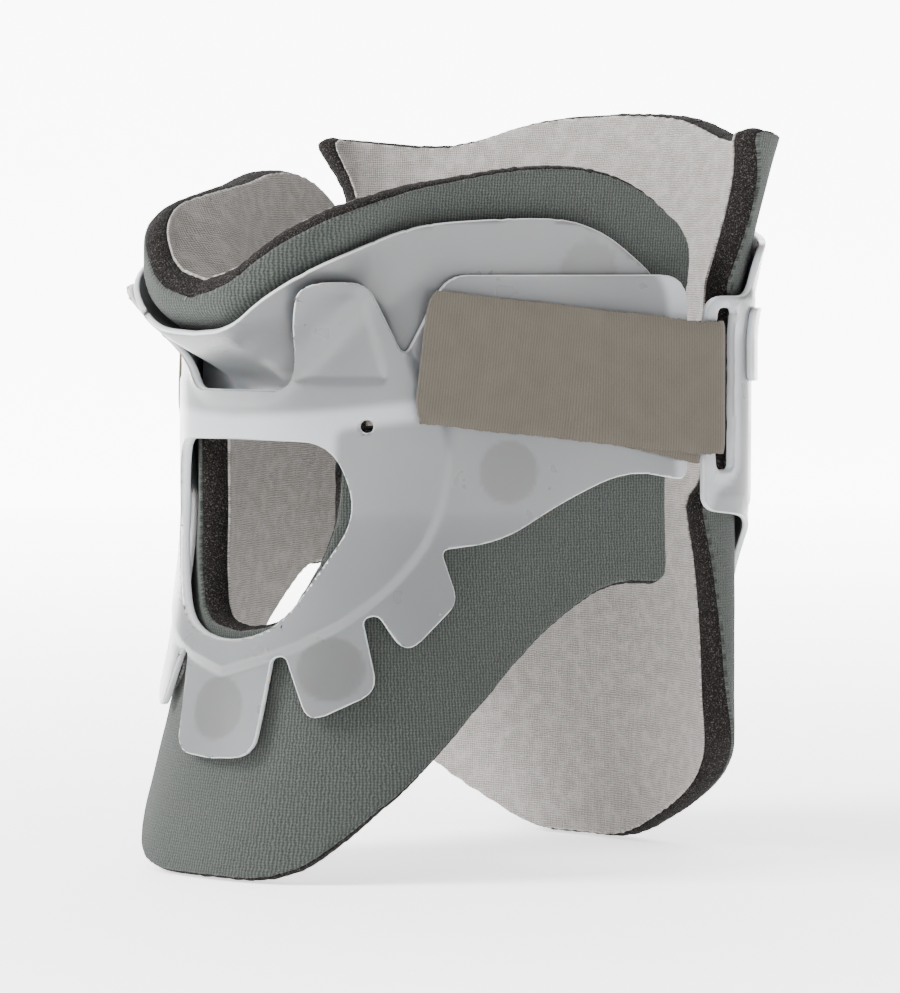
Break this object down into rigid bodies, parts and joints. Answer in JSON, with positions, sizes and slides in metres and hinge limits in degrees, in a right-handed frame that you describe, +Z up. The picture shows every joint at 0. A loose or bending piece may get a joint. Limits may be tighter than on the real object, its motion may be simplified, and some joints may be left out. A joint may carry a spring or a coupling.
{
  "type": "cervical collar",
  "caption": "Two-piece rigid neck brace: a plastic front half with chin trough and throat opening, a padded back half and hook-and-loop side straps.",
  "frame": {"origin": "On the surface the collar stands on, under the middle of its outline", "axes": "+Z up along the neck, -Y the wearer's front (throat opening), +X the wearer's left; mirror-symmetric about X = 0"},
  "size_m": [0.1814, 0.182, 0.216],
  "materials": {
    "shell_plastic": "milky translucent polyethylene sheet, satin",
    "knit_cover": "green-grey brushed knit with fine vertical ribs",
    "foam_core": "cut open-cell charcoal foam",
    "cotton_lining": "warm light grey plain-weave cotton",
    "strap_webbing": "beige-grey fine-ribbed loop webbing",
    "hook_fastener": "moulded hook tape",
    "rivet_plastic": "white moulded rivet"
  },
  "bodies": {
    "front_half": {"front_shell": "shell_plastic", "chin_support": "shell_plastic", "front_pad_cover": "knit_cover", "front_pad_foam": "foam_core", "front_pad_lining": "cotton_lining", "chin_pad_cover": "knit_cover", "chin_pad_foam": "foam_core", "chin_pad_lining": "cotton_lining", "tab_dot_centre": "hook_fastener", "tab_dot_left": "hook_fastener", "tab_dot_right": "hook_fastener", "wing_dot_left": "hook_fastener", "wing_dot_right": "hook_fastener", "chin_dot_left": "hook_fastener", "chin_dot_right": "hook_fastener", "wing_patch_left": "strap_webbing", "wing_patch_right": "strap_webbing", "chin_rivet_left": "rivet_plastic", "chin_rivet_right": "rivet_plastic"},
    "back_half": {"back_shell": "shell_plastic", "strap_anchor_left": "shell_plastic", "strap_anchor_right": "shell_plastic", "back_pad_cover": "knit_cover", "back_pad_foam": "foam_core", "back_pad_lining": "cotton_lining", "back_dot_upper_left": "hook_fastener", "back_dot_upper_right": "hook_fastener", "back_dot_lower_left": "hook_fastener", "back_dot_lower_right": "hook_fastener"},
    "strap_left": {"strap_left": "strap_webbing", "strap_hook_left": "hook_fastener"},
    "strap_right": {"strap_right": "strap_webbing", "strap_hook_right": "hook_fastener"}
  },
  "joints": [
    {"name": "back_half_release", "type": "slide", "parent": "front_half", "child": "back_half", "axis": [0, 1, 0], "range_m": [0, 0.03]},
    {"name": "strap_left_peel", "type": "hinge", "parent": "back_half", "child": "strap_left", "pos_m": [0.08071, 0.03514, 0.137], "axis": [0, 0, 1], "range_deg": [0, 101]},
    {"name": "strap_right_peel", "type": "hinge", "parent": "back_half", "child": "strap_right", "pos_m": [-0.08071, 0.03514, 0.137], "axis": [0, 0, -1], "range_deg": [0, 101]}
  ],
  "couplings": [
    {"joint": "strap_left_peel", "follows": "back_half_release", "rad_per_m": 58.2},
    {"joint": "strap_right_peel", "follows": "back_half_release", "rad_per_m": 58.2}
  ]
}
